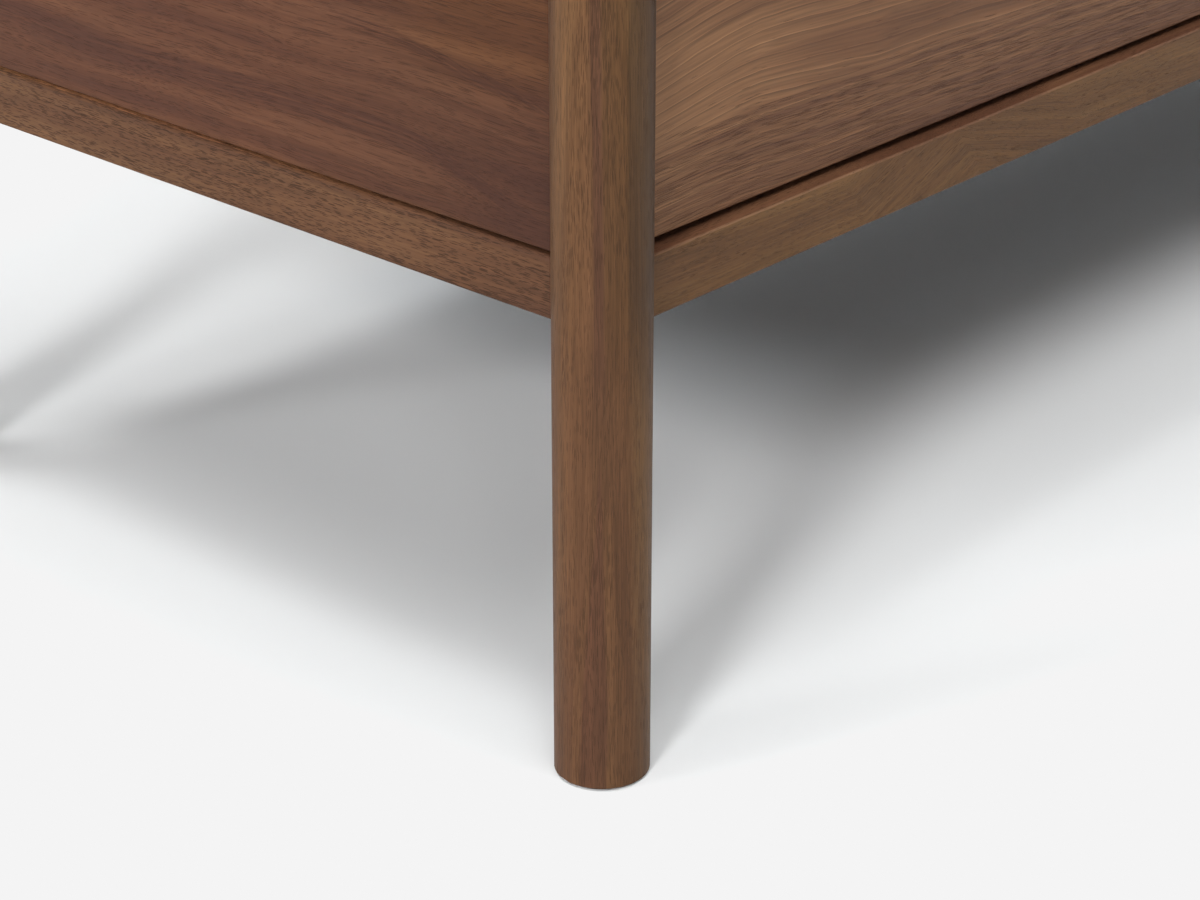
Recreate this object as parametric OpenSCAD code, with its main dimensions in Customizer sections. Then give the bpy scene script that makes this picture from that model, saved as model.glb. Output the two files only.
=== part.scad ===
// Double dresser: a case hung between four turned corner posts, with six drawers in two columns.
// Millimetres. +Z is up and the drawers face -Y.
// The origin is on the floor, in the middle of the whole footprint.

/* [Case] */
// Width over the corner posts
case_w = 1525; // [1250:5:1800]
// Depth over the corner posts, without the knobs
case_d = 500; // [480:5:560]
// Height from the floor to the upper face of the top
case_h = 840; // [760:5:960]
// Thickness of the top
top_t = 22; // [16:1:30]
// Radius that eases the edges of the top
top_edge_r = 2.5; // [1:0.5:6]

/* [Frame] */
// Diameter of the turned corner posts
post_d = 40; // [36:1:48]
// Clear height under the lower rails
leg_clear = 200; // [140:5:240]
// Chamfer at the foot of each post
foot_chamfer = 0.8; // [0.3:0.1:2]
// Height of the rails
rail_h = 26.5; // [24:0.5:34]
// Thickness of the rails
rail_t = 22; // [20:1:26]
// Radius that eases the long edges of rails and stile
rail_arris = 1.2; // [0.5:0.1:2]
// Radius that eases the upper and lower edges of the side panels
panel_arris = 0.8; // [0.4:0.1:2]
// Diameter of the dowels in the frame joints
dowel_d = 8; // [6:0.5:8]
// Length of each dowel
dowel_l = 43; // [32:1:50]

/* [Panels] */
// Thickness of the side panels
side_t = 18; // [15:1:19]
// How far a side panel sits behind the face of its rails
side_set = 1.5; // [0.5:0.1:2]
// Shadow line between a side panel and its rails
side_reveal = 1.2; // [0.6:0.1:3]
// Thickness of the tongues along the side panels
tongue_t = 6; // [4:0.5:8]
// Depth of the grooves that hold the panels
groove_deep = 4; // [3:0.5:4]
// Thickness of the back panel
back_t = 6; // [4:0.5:9]
// Thickness of the bottom panel
bottom_t = 9; // [6:0.5:10]
// Thickness of the centre divider and width of its stile
divider_t = 25; // [20:1:36]

/* [Drawer fronts] */
// Thickness of the drawer fronts
front_t = 19; // [16:0.5:22]
// How far the drawer fronts sit behind the face of the rails
front_set = 5.5; // [4:0.5:10]
// Gap above and below each drawer front
front_gap = 3.5; // [2:0.5:5]
// Gap at the two ends of each drawer front
end_gap = 2; // [1.5:0.5:4]
// Radius that eases the edges of the drawer fronts
front_arris = 1; // [0.5:0.1:2]

/* [Drawer boxes] */
// Thickness of the dovetailed box boards
box_t = 14; // [12:0.5:16]
// Height of the box above the lower edge of its front
box_lift = 18; // [12:1:26]
// Drop of the box below the upper edge of its front
box_drop = 27; // [15:1:40]
// Free space between the box and the rear rails
box_back_gap = 13; // [8:1:40]
// Thickness of the drawer base
base_t = 6; // [4:0.5:8]
// Height of the base above the lower edge of the box
base_lift = 8; // [6:1:12]
// Tails in each dovetailed corner
tails = 3; // [2:1:5]

/* [Slides] */
// Step between the lengths that the telescopic slides come in
slide_step = 50; // [25, 50]
// Height of the slides
slide_h = 45; // [40:1:50]
// Width of a slide between the case and the box
slide_w = 12.7; // [12:0.1:14]
// Thickness of the slide steel
slide_gauge = 1.2; // [1:0.1:1.4]
// Running clearance between slide members
slide_run = 0.4; // [0.3:0.05:0.5]
// Thickness of the battens that carry the slides clear of the posts
batten_t = 12; // [12:0.5:14]

/* [Knobs and glides] */
// Diameter of the turned knobs
knob_d = 28; // [22:1:34]
// Projection of the knobs from the drawer front
knob_l = 22.5; // [20:0.5:34]
// Diameter of the knob neck
knob_neck_d = 15; // [11:0.5:17]
// Length of the neck, up to the rim of the head
knob_neck_l = 11.5; // [9:0.5:16]
// Width of the knob's rim
knob_rim = 3; // [2:0.5:5]
// Diameter of the spigot glued into the drawer front
spigot_d = 8; // [6:0.5:9]
// Length of that spigot
spigot_l = 14; // [10:0.5:15]
// Diameter of the nylon glides
glide_d = 22; // [16:1:28]
// How far the glides stand below the posts
glide_proud = 0.6; // [0.4:0.1:2]
// Thickness of a glide
glide_t = 3; // [2.5:0.1:5]
// Diameter of the pin that holds a glide
glide_pin_d = 5; // [4:0.5:7]
// Length of that pin above the glide
glide_pin_l = 10; // [8:1:14]

/* [Screws] */
// Diameter of the screws in the top and the drawer fronts
screw_d = 4; // [3.5:0.5:5]
// Depth that they reach into the top and the drawer fronts
screw_bite = 13; // [10:1:15]
// Diameter of the screws in the slides
slide_screw_d = 3.5; // [3:0.5:4]
// Depth that these reach into the wood
slide_screw_bite = 10; // [8:1:12]
// Distance of the outer slide screws from the ends of a slide
slide_screw_end = 37; // [20:1:60]
// Distance between the two pilot holes for a wall strap
strap_spacing = 400; // [200:10:800]
// Diameter of those holes
strap_hole_d = 3; // [2:0.5:5]

/* [Hidden] */
ROWS = ["bottom", "middle", "top"];
COLUMNS = ["left", "right"];
DRAWER_PARTS = ["front", "box", "base", "knobs", "fittings", "middle_slide_members"];
CASE_NODES = ["front_left_leg", "front_right_leg", "rear_left_leg", "rear_right_leg",
              "top", "left_side_panel", "right_side_panel",
              "left_lower_rail", "left_upper_rail", "right_lower_rail", "right_upper_rail",
              "front_lower_rail", "front_upper_rail", "back_lower_rail", "back_upper_rail",
              "centre_divider", "centre_stile", "back_panel", "bottom_panel",
              "slide_battens", "case_slide_members", "frame_dowels", "case_screws", "leg_glides"];

WALNUT = "#6b4a36";
PALE_WOOD = "#cbb48c";
PLY = "#bfa77c";
WALNUT_PLY = "#5e4433";
STEEL = "silver";
NYLON = "dimgray";

fit = 0.1;                 // clearance of a glued joint
panel_fit = 0.3;           // clearance of a panel in its groove
bore_fit = 0.05;           // radial clearance of a dowel in its bore
glue_room = 0.5;           // room for glue past the end of a knob's spigot
facets = 96;               // facets of a full circle

post_r = post_d / 2;
post_x = case_w / 2 - post_r;
post_y = case_d / 2 - post_r;
post_top = case_h - top_t;
shoulder_gap = 1;                    // between the ends of two rails that meet in a post
rail_seat = rail_t / 2 + shoulder_gap;   // where a rail ends, measured from the post's axis
side_rail_l = 2 * (post_y - rail_seat);
cross_rail_l = 2 * (post_x - rail_seat);
lower_z = leg_clear;
upper_z = post_top - rail_h;
opening_z = lower_z + rail_h;
opening_h = upper_z - opening_z;

side_out = post_x + rail_t / 2 - side_set;
side_in = side_out - side_t;
tongue_x = (side_out + side_in) / 2;
bottom_lift = 6;                     // from the rails' lower edge to the bottom panel
bottom_groove_z = lower_z + bottom_lift;
bottom_groove = 5;                   // how far the bottom panel enters the rails
back_y = post_y;                     // middle of the back panel

dowel_edge = 4;                      // wood below a dowel
dowel_pass = 0.6;                    // dowels of side and cross rails pass each other in a post
side_dowel_z = dowel_d / 2 + dowel_edge;
cross_dowel_z = side_dowel_z + dowel_d + dowel_pass;
dowel_in_post = 18;                  // how far a dowel reaches past the end of its rail
stile_dowel_in_rail = 14;

front_h = (opening_h - (len(ROWS) + 1) * front_gap) / len(ROWS);
front_face = -(post_y + rail_t / 2 - front_set);
front_back = front_face + front_t;
front_x0 = divider_t / 2 + end_gap;
front_x1 = post_x - post_r - end_gap;

mount_out = side_in - batten_t;      // face that carries the outer slide of a column
mount_in = divider_t / 2;            // face of the divider
box_x0 = mount_in + slide_w;
box_x1 = mount_out - slide_w;
box_y0 = front_back;
box_y1 = post_y - rail_t / 2 - box_back_gap;
box_h = front_h - box_lift - box_drop;
base_in = box_t / 2;                 // how far the base enters the boards
tail_pitch = box_h / tails;
tail_slope = 1 / 7;
tail_root = 0.32;                    // half width of a tail at its shoulder, in tail pitches
slide_behind = 2;                    // from the front posts back to the slides
slide_low = 8;                       // from the middle of a box down to the middle of its slides
slide_y0 = -(post_y - post_r) + slide_behind;
slide_l = slide_step * floor((box_y1 - slide_y0) / slide_step);
slide_z = box_lift + box_h / 2 - slide_low;   // above the front's lower edge
case_lip = slide_w - 2.2;            // how far the flanges of the case and middle members reach
middle_lip = slide_w - 0.8;

knob_x = (front_x1 - front_x0) / 4;  // distance of each knob from the middle of its front
knob_proud = max(0, knob_l - (front_face + post_y + post_r));
pan_ratio = 2;                       // width of a pan head, in screw diameters
pan_h = 1.8;
recess_l = 4.4;                      // cross recess of a pan head
recess_w = 1.1;
recess_deep = 1.4;
pocket_lean = 20;                    // degrees that a pocket screw leans from upright
pocket_seat = 13;                    // wood above a pocket, along the screw
pocket_clear = 1.5;                  // free space round a pocket screw's head, and past its tip
pocket_in = rail_t / 6;              // from the middle of the rail to the screw, at the rail's upper face
strap_hole_deep = 14;
front_screw_in = 60;                 // from the end of the box to the screws of its front

SIDE_SCREWS = [for (s = [-1, 1]) s * side_rail_l / 4];
CROSS_SCREWS = [for (s = [-3, -1, 1, 3]) s * cross_rail_l / 8];
SLIDE_SCREWS = [slide_screw_end, slide_l / 2, slide_l - slide_screw_end];
FRONT_SCREWS = [box_h / 4, box_h * 3 / 4];

function drawer_z(row) = opening_z + front_gap + row * (front_h + front_gap);
function column_sign(column) = column == 0 ? -1 : 1;

// Puts the middle of the whole footprint, knobs included, on the origin.
module placed() translate([0, knob_proud / 2, 0]) children();

// A rectangle with true round corners, centred on the origin.
module eased_section(w, h, r) {
    square([w - 2 * r, h], center = true);
    square([w, h - 2 * r], center = true);
    for (x = [-1, 1], y = [-1, 1])
        translate([x * (w / 2 - r), y * (h / 2 - r)]) circle(r, $fn = 32);
}

// A bar of that section lying along X or Y, centred on its length, with its lower face at z = 0.
module bar_x(l, w, h, r) translate([0, 0, h / 2]) rotate([90, 0, 90])
    linear_extrude(l, center = true) eased_section(w, h, r);
module bar_y(l, w, h, r) translate([0, 0, h / 2]) rotate([90, 0, 0])
    linear_extrude(l, center = true) eased_section(w, h, r);

module side_rail_blank(side, z)
    translate([side * post_x, 0, z]) bar_y(side_rail_l, rail_t, rail_h, rail_arris);
module cross_rail_blank(front, z)
    translate([0, front * post_y, z]) bar_x(cross_rail_l, rail_t, rail_h, rail_arris);

// The space that the bottom panel takes in the rails.
module bottom_blank(extra) {
    x = post_x - rail_t / 2 + bottom_groove;
    y = post_y - rail_t / 2 + bottom_groove;
    translate([-x - extra, -y - extra, bottom_groove_z])
        cube([2 * (x + extra), 2 * (y + extra), bottom_t + (extra > 0 ? fit : 0)]);
}

// One dowel, or its bore: it lies along the rail that ends at a post.
module side_dowel(side, front, z, extra)
    translate([side * post_x, front * (post_y - rail_seat + dowel_in_post), z])
        rotate([front * 90, 0, 0])
            translate([0, 0, -extra]) cylinder(d = dowel_d + 2 * extra, h = dowel_l + 2 * extra, $fn = 48);
module cross_dowel(side, front, z, extra)
    translate([side * (post_x - rail_seat + dowel_in_post), front * post_y, z])
        rotate([0, -side * 90, 0])
            translate([0, 0, -extra]) cylinder(d = dowel_d + 2 * extra, h = dowel_l + 2 * extra, $fn = 48);

// Dowels mirror about the middle of the case, so that they stay clear of the panel grooves.
SIDE_DOWELS = [lower_z + side_dowel_z, upper_z + rail_h - side_dowel_z];
CROSS_DOWELS = [lower_z + cross_dowel_z, upper_z + rail_h - cross_dowel_z];

module post_dowels(side, front, extra) {
    for (z = SIDE_DOWELS) side_dowel(side, front, z, extra);
    for (z = CROSS_DOWELS) cross_dowel(side, front, z, extra);
}

module stile_dowels(extra)
    for (z = [opening_z - stile_dowel_in_rail, upper_z + stile_dowel_in_rail - dowel_l])
        translate([0, -post_y, z - extra])
            cylinder(d = dowel_d + 2 * extra, h = dowel_l + 2 * extra, $fn = 48);

module glide(extra) {
    cylinder(d = glide_d + 2 * extra, h = glide_t, $fn = facets);
    cylinder(d = glide_pin_d + 2 * extra, h = glide_t + glide_pin_l + extra, $fn = 32);
}

// A turned corner post with housings for two rails, the side panel and, at the rear, the back panel.
module post(side, front) color(WALNUT) difference() {
    translate([side * post_x, front * post_y, 0]) rotate_extrude($fn = facets)
        polygon([[0, glide_proud], [post_r - foot_chamfer, glide_proud],
                 [post_r, glide_proud + foot_chamfer], [post_r, post_top], [0, post_top]]);
    for (z = [lower_z, upper_z]) {
        side_rail_blank(side, z);
        cross_rail_blank(front, z);
    }
    side_slot(side);
    if (front > 0) back_slot();
    post_dowels(side, front, bore_fit);
    translate([side * post_x, front * post_y, 0]) glide(fit);
}

module side_slot(side)
    translate([side > 0 ? side_in : -side_out, -side_rail_l / 2, opening_z])
        cube([side_t, side_rail_l, opening_h]);
module back_slot()
    translate([-cross_rail_l / 2, back_y - back_t / 2 - fit, opening_z])
        cube([cross_rail_l, back_t + 2 * fit, opening_h]);

// The groove for a tongue of a side panel, along one face of its rail.
module side_groove(side, z)
    translate([side * tongue_x - tongue_t / 2 - fit, -side_rail_l / 2 - 1, z])
        cube([tongue_t + 2 * fit, side_rail_l + 2, groove_deep]);
module back_groove(z)
    translate([-cross_rail_l / 2 - 1, back_y - back_t / 2 - fit, z])
        cube([cross_rail_l + 2, back_t + 2 * fit, groove_deep]);

// A pan-head screw along z: the head rests on z = 0 and the thread ends at z = l.
module pan_screw(d, l) {
    translate([0, 0, -pan_h - bore_fit]) difference() {
        cylinder(d = d * pan_ratio, h = pan_h, $fn = 32);
        for (turn = [0, 90]) rotate([0, 0, turn])
            translate([-recess_l / 2, -recess_w / 2, -1]) cube([recess_l, recess_w, recess_deep + 1]);
    }
    translate([0, 0, -2 * bore_fit]) cylinder(d = d, h = l + 2 * bore_fit, $fn = 32);
}

// Pocket screws lean out of the inner face of an upper rail, up into the top.
// Their z axis runs along the screw, with z = 0 where the head rests.
module at_pocket(out_angle)
    rotate([0, 0, out_angle]) translate([-pocket_in, 0, post_top]) rotate([0, pocket_lean, 0])
        translate([0, 0, -pocket_seat]) children();
module at_pockets() {
    for (side = [-1, 1], y = SIDE_SCREWS)
        translate([side * post_x, y, 0]) at_pocket(side > 0 ? 0 : 180) children();
    for (front = [-1, 1], x = CROSS_SCREWS)
        translate([x, front * post_y, 0]) at_pocket(front * 90) children();
}
module pocket() {
    head = screw_d * pan_ratio + pocket_clear;
    translate([0, 0, -2 * rail_h]) cylinder(d = head, h = 2 * rail_h, $fn = 32);
    translate([0, 0, -1])
        cylinder(d = screw_d + 2 * fit, h = pocket_seat + screw_bite + pocket_clear, $fn = 32);
}

module side_rail(side, upper) color(WALNUT) difference() {
    side_rail_blank(side, upper ? upper_z : lower_z);
    side_groove(side, upper ? upper_z : opening_z - groove_deep);
    for (front = [-1, 1]) side_dowel(side, front, SIDE_DOWELS[upper ? 1 : 0], bore_fit);
    if (upper) at_pockets() pocket();
    else bottom_blank(fit);
}

module cross_rail(front, upper) color(WALNUT) difference() {
    cross_rail_blank(front, upper ? upper_z : lower_z);
    if (front > 0) back_groove(upper ? upper_z : opening_z - groove_deep);
    else stile_dowels(bore_fit);
    for (side = [-1, 1]) cross_dowel(side, front, CROSS_DOWELS[upper ? 1 : 0], bore_fit);
    if (upper) at_pockets() pocket();
    else bottom_blank(fit);
    if (front > 0 && upper)
        for (s = [-1, 1])
            translate([s * strap_spacing / 2, post_y + rail_t / 2 + 1, upper_z + rail_h / 2])
                rotate([90, 0, 0]) cylinder(d = strap_hole_d, h = strap_hole_deep + 1, $fn = 32);
}

// A panel held by tongues in the rails and by slots in the posts, with a shadow line above and below.
module side_panel(side) color(WALNUT) {
    z0 = opening_z + side_reveal;
    h = opening_h - 2 * side_reveal;
    translate([side * tongue_x, 0, z0]) bar_y(side_rail_l - 2 * fit, side_t, h, panel_arris);
    translate([side * tongue_x - tongue_t / 2, -side_rail_l / 2 + fit, opening_z - groove_deep])
        cube([tongue_t, side_rail_l - 2 * fit, opening_h + 2 * groove_deep - panel_fit]);
}

module back_panel() color(WALNUT_PLY)
    translate([-cross_rail_l / 2 + fit, back_y - back_t / 2, opening_z - groove_deep])
        cube([cross_rail_l - 2 * fit, back_t, opening_h + 2 * groove_deep - panel_fit]);

module bottom_panel() color(WALNUT_PLY) difference() {
    bottom_blank(0);
    for (side = [-1, 1], front = [-1, 1])
        translate([side * post_x, front * post_y, 0])
            cylinder(r = post_r + panel_fit, h = case_h, $fn = facets);
}

// The top: a slab whose corners follow the posts, with eased edges.
module top() color(WALNUT) difference() {
    translate([0, 0, post_top]) {
        translate([-post_x, -post_y, 0]) cube([2 * post_x, 2 * post_y, top_t]);
        for (front = [-1, 1])
            translate([0, front * post_y, 0]) bar_x(2 * post_x, post_d, top_t, top_edge_r);
        for (side = [-1, 1])
            translate([side * post_x, 0, 0]) bar_y(2 * post_y, post_d, top_t, top_edge_r);
        for (side = [-1, 1], front = [-1, 1]) translate([side * post_x, front * post_y, top_t / 2])
            rotate_extrude($fn = facets) intersection() {
                eased_section(post_d, top_t, top_edge_r);
                translate([0, -top_t]) square([post_d, 2 * top_t]);
            }
    }
    at_pockets() pocket();
}

// The divider stands on the bottom panel, meets both rails and steps back to the back panel.
module centre_divider() color(PLY) difference() {
    y_rail = post_y - rail_t / 2;
    y_panel = back_y - back_t / 2;
    z0 = bottom_groove_z + bottom_t;
    rotate([90, 0, 90]) linear_extrude(divider_t, center = true)
        polygon([[-y_rail, z0], [y_rail, z0], [y_rail, opening_z], [y_panel, opening_z],
                 [y_panel, upper_z], [y_rail, upper_z], [y_rail, post_top], [-y_rail, post_top]]);
    for (side = [-1, 1], row = [0 : len(ROWS) - 1])
        at_slide_screws(side * mount_in, side, row) flush_screw(bore_fit);
}

module centre_stile() color(WALNUT) difference() {
    translate([0, -post_y, opening_z])
        linear_extrude(opening_h) eased_section(divider_t, rail_t, rail_arris);
    stile_dowels(bore_fit);
}

module frame_dowels() color(PALE_WOOD) {
    for (side = [-1, 1], front = [-1, 1]) post_dowels(side, front, 0);
    stile_dowels(0);
}

module leg_glides() color(NYLON)
    for (side = [-1, 1], front = [-1, 1]) translate([side * post_x, front * post_y, 0]) glide(0);

// The pocket screws of the top, and the screws of the case's slide members.
module case_screws() color(STEEL) {
    at_pockets() pan_screw(screw_d, pocket_seat + screw_bite);
    for (side = [-1, 1], inner = [false, true], row = [0 : len(ROWS) - 1])
        at_slide_screws(side * (inner ? mount_in : mount_out), inner ? side : -side, row) flush_screw(0);
}

// Battens on the side panels carry the outer slides of each column clear of the posts.
module slide_battens() color(PLY) difference() {
    for (side = [-1, 1], row = [0 : len(ROWS) - 1])
        translate([side > 0 ? mount_out : -side_in, slide_y0, drawer_z(row) + slide_z - slide_h / 2])
            cube([batten_t, slide_l, slide_h]);
    for (side = [-1, 1], row = [0 : len(ROWS) - 1])
        at_slide_screws(side * mount_out, -side, row) flush_screw(bore_fit);
}

// Section of a slide member: x runs from the case to the drawer box, y is up.
// Its web stands at x = web and its flanges reach to x = lip.
function channel(web, lip, half) =
    let (inner = web + sign(lip - web) * slide_gauge)
    [[web, half], [lip, half], [lip, half - slide_gauge], [inner, half - slide_gauge],
     [inner, slide_gauge - half], [lip, slide_gauge - half], [lip, -half], [web, -half]];
nest = slide_gauge + slide_run;
CASE_MEMBER = channel(0, case_lip, slide_h / 2);
MIDDLE_MEMBER = channel(nest, middle_lip, slide_h / 2 - nest);
BOX_MEMBER = channel(slide_w, 2 * nest, slide_h / 2 - 2 * nest);

// One slide member, from the mounting face at x = mount towards direction.
module slide_member(section, mount, direction, row)
    translate([mount, slide_y0 + slide_l, drawer_z(row) + slide_z])
        rotate([90, 0, 0]) linear_extrude(slide_l)
            polygon([for (p = section) [direction * p[0], p[1]]]);

// Both slides of a drawer: the outer one faces the middle of the case, the inner one faces away from it.
module slide_pair(section, column, row) {
    s = column_sign(column);
    slide_member(section, s * mount_out, -s, row);
    slide_member(section, s * mount_in, s, row);
}

// The screws of a case member stand on the mounting face at x = mount; z runs into the wood behind it.
module at_slide_screws(mount, direction, row)
    for (y = SLIDE_SCREWS)
        translate([mount, slide_y0 + y, drawer_z(row) + slide_z])
            rotate([0, -direction * 90, 0]) children();
module flush_screw(extra) {
    translate([0, 0, -slide_gauge])
        cylinder(d1 = slide_screw_d * pan_ratio + 2 * extra, d2 = slide_screw_d + 2 * extra,
                 h = slide_gauge, $fn = 32);
    translate([0, 0, -extra])
        cylinder(d = slide_screw_d + 2 * extra, h = slide_screw_bite + 2 * extra, $fn = 32);
}

module case_slide_members() color(STEEL) difference() {
    for (column = [0, 1], row = [0 : len(ROWS) - 1]) slide_pair(CASE_MEMBER, column, row);
    for (side = [-1, 1], inner = [false, true], row = [0 : len(ROWS) - 1])
        at_slide_screws(side * (inner ? mount_in : mount_out), inner ? side : -side, row)
            flush_screw(bore_fit);
}

// Screws of the drawer in the right column: three in each box member, four in the front.
module box_member_screws(extra) {
    l = slide_gauge + slide_screw_bite;
    for (y = SLIDE_SCREWS, end = [-1, 1])
        translate([end < 0 ? box_x0 - slide_gauge : box_x1 + slide_gauge, slide_y0 + y, slide_z])
            rotate([0, -end * 90, 0])
                if (extra > 0) cylinder(d = slide_screw_d + 2 * extra, h = l + extra, $fn = 32);
                else pan_screw(slide_screw_d, l);
}
module front_screws(extra)
    for (x = [box_x0 + front_screw_in, box_x1 - front_screw_in], z = FRONT_SCREWS)
        translate([x, box_y0 + box_t, box_lift + z]) rotate([90, 0, 0])
            if (extra > 0) translate([0, 0, -1])
                cylinder(d = screw_d + 2 * extra, h = box_t + screw_bite + extra + 1, $fn = 32);
            else pan_screw(screw_d, box_t + screw_bite);

module drawer_front(column, row) color(WALNUT) {
    w = front_x1 - front_x0;
    x = column_sign(column) * (front_x0 + front_x1) / 2;
    y = front_face + front_t / 2;
    difference() {
        intersection() {
            translate([x, y, drawer_z(row)]) bar_x(w, front_t, front_h, front_arris);
            translate([x, y, drawer_z(row)]) linear_extrude(front_h) eased_section(w, front_t, front_arris);
        }
        for (s = [-1, 1]) knob_place(x + s * knob_x, row) translate([0, 0, -spigot_l - glue_room])
            cylinder(d = spigot_d + 2 * bore_fit, h = spigot_l + 2 * glue_room, $fn = 48);
        in_column(column) translate([0, 0, drawer_z(row)]) front_screws(bore_fit);
    }
}

// Knob axis: z runs out of the drawer front.
module knob_place(x, row)
    translate([x, front_face, drawer_z(row) + front_h / 2]) rotate([90, 0, 0]) children();

// A turned knob: a spigot, a waisted neck and a domed head.
module knob() {
    neck = knob_neck_d / 2;
    head = knob_d / 2;
    flare = 2.4;               // how late the neck widens towards the rim
    crown = knob_l - knob_neck_l - knob_rim;
    waist = [for (i = [0 : 8]) [neck + (head - neck) * pow(i / 8, flare), knob_neck_l * i / 8]];
    dome = [for (a = [0 : 9 : 90]) [head * cos(a), knob_neck_l + knob_rim + crown * sin(a)]];
    rotate_extrude($fn = 64) polygon(concat([[0, -spigot_l], [spigot_d / 2, -spigot_l], [spigot_d / 2, 0]],
                                            waist, dome));
}

module drawer_knobs(column, row) color(WALNUT) {
    x = column_sign(column) * (front_x0 + front_x1) / 2;
    for (s = [-1, 1]) knob_place(x + s * knob_x, row) knob();
}

// The tails that a side board shows in the thickness of an end board:
// y runs from the shoulder, and z from the foot of the box.
module tails_profile(grow)
    for (i = [0 : tails - 1]) {
        root = tail_pitch * tail_root + grow;
        tip = root + box_t * tail_slope;
        mid = tail_pitch * (i + 0.5);
        polygon([[-fit, mid - root], [box_t, mid - tip], [box_t, mid + tip], [-fit, mid + root]]);
    }
// Tails that point along -Y at the front of the box, or along +Y at its back, x thick.
module tails_solid(y, direction, x, grow)
    translate([0, y, 0]) rotate([90, 0, 90]) linear_extrude(x) scale([direction, 1]) tails_profile(grow);

module box_base_space(extra) {
    translate([box_x0 + base_in - extra, box_y0 + base_in - extra, base_lift])
        cube([box_x1 - box_x0 - 2 * base_in + 2 * extra, box_y1 - box_y0 - 2 * base_in + 2 * extra,
              base_t + (extra > 0 ? fit : 0)]);
}

// Four boards, dovetailed at the corners, with a groove for the base. A glue line parts them.
module box_boards() difference() {
    side_l = box_y1 - box_y0 - 2 * (box_t + fit);
    union() {
        for (x = [box_x0, box_x1 - box_t]) {
            translate([x, box_y0 + box_t + fit, 0]) cube([box_t, side_l, box_h]);
            translate([x, 0, 0]) {
                tails_solid(box_y0 + box_t, -1, box_t, 0);
                tails_solid(box_y1 - box_t, 1, box_t, 0);
            }
        }
        difference() {
            for (y = [box_y0, box_y1 - box_t])
                translate([box_x0, y, 0]) cube([box_x1 - box_x0, box_t, box_h]);
            for (x = [box_x0 - fit, box_x1 - box_t - fit]) translate([x, 0, 0]) {
                tails_solid(box_y0 + box_t, -1, box_t + 2 * fit, fit);
                tails_solid(box_y1 - box_t, 1, box_t + 2 * fit, fit);
            }
        }
    }
    box_base_space(fit);
    translate([0, 0, -box_lift]) {
        box_member_screws(bore_fit);
        front_screws(bore_fit);
    }
}
module in_column(column) mirror([column == 0 ? 1 : 0, 0, 0]) children();
module drawer_box(column, row) color(PALE_WOOD) in_column(column)
    translate([0, 0, drawer_z(row) + box_lift]) box_boards();
module drawer_base(column, row) color(PLY) in_column(column)
    translate([0, 0, drawer_z(row) + box_lift]) box_base_space(0);

// The two box members of the slides and the drawer's ten screws.
module drawer_fittings(column, row) color(STEEL) {
    difference() {
        slide_pair(BOX_MEMBER, column, row);
        in_column(column) translate([0, 0, drawer_z(row)]) box_member_screws(fit);
    }
    in_column(column) translate([0, 0, drawer_z(row)]) {
        box_member_screws(0);
        front_screws(0);
    }
}
module middle_slide_members(column, row) color(STEEL) slide_pair(MIDDLE_MEMBER, column, row);

placed() post(-1, -1);  // front_left_leg
placed() post(1, -1);  // front_right_leg
placed() post(-1, 1);  // rear_left_leg
placed() post(1, 1);  // rear_right_leg
placed() top();
placed() side_panel(-1);  // left_side_panel
placed() side_panel(1);  // right_side_panel
placed() side_rail(-1, false);  // left_lower_rail
placed() side_rail(-1, true);  // left_upper_rail
placed() side_rail(1, false);  // right_lower_rail
placed() side_rail(1, true);  // right_upper_rail
placed() cross_rail(-1, false);  // front_lower_rail
placed() cross_rail(-1, true);  // front_upper_rail
placed() cross_rail(1, false);  // back_lower_rail
placed() cross_rail(1, true);  // back_upper_rail
placed() centre_divider();
placed() centre_stile();
placed() back_panel();
placed() bottom_panel();
placed() slide_battens();
placed() case_slide_members();
placed() frame_dowels();
placed() case_screws();
placed() leg_glides();
for (row = [0 : len(ROWS) - 1], column = [0 : len(COLUMNS) - 1]) {
    drawer = str(ROWS[row], "_", COLUMNS[column], "_drawer_");
    placed() drawer_front(column, row);
    placed() drawer_box(column, row);
    placed() drawer_base(column, row);
    placed() drawer_knobs(column, row);
    placed() drawer_fittings(column, row);
    placed() middle_slide_members(column, row);
}
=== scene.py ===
# %% [markdown]
# A double dresser in walnut, dressed for the camera
#
# The dresser is a frame of four turned posts with rails between them, panels set into that
# frame, and six drawers on ball-bearing slides. Its construction comes packed from the CAD
# source. This script gives each part the finish that it has in the workshop, adds the small
# fittings that a solid model leaves plain, and sets up the floor, the lights and the camera.

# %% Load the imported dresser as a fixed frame
import math

import bmesh
import bpy
from mathutils import Matrix, Vector


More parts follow.
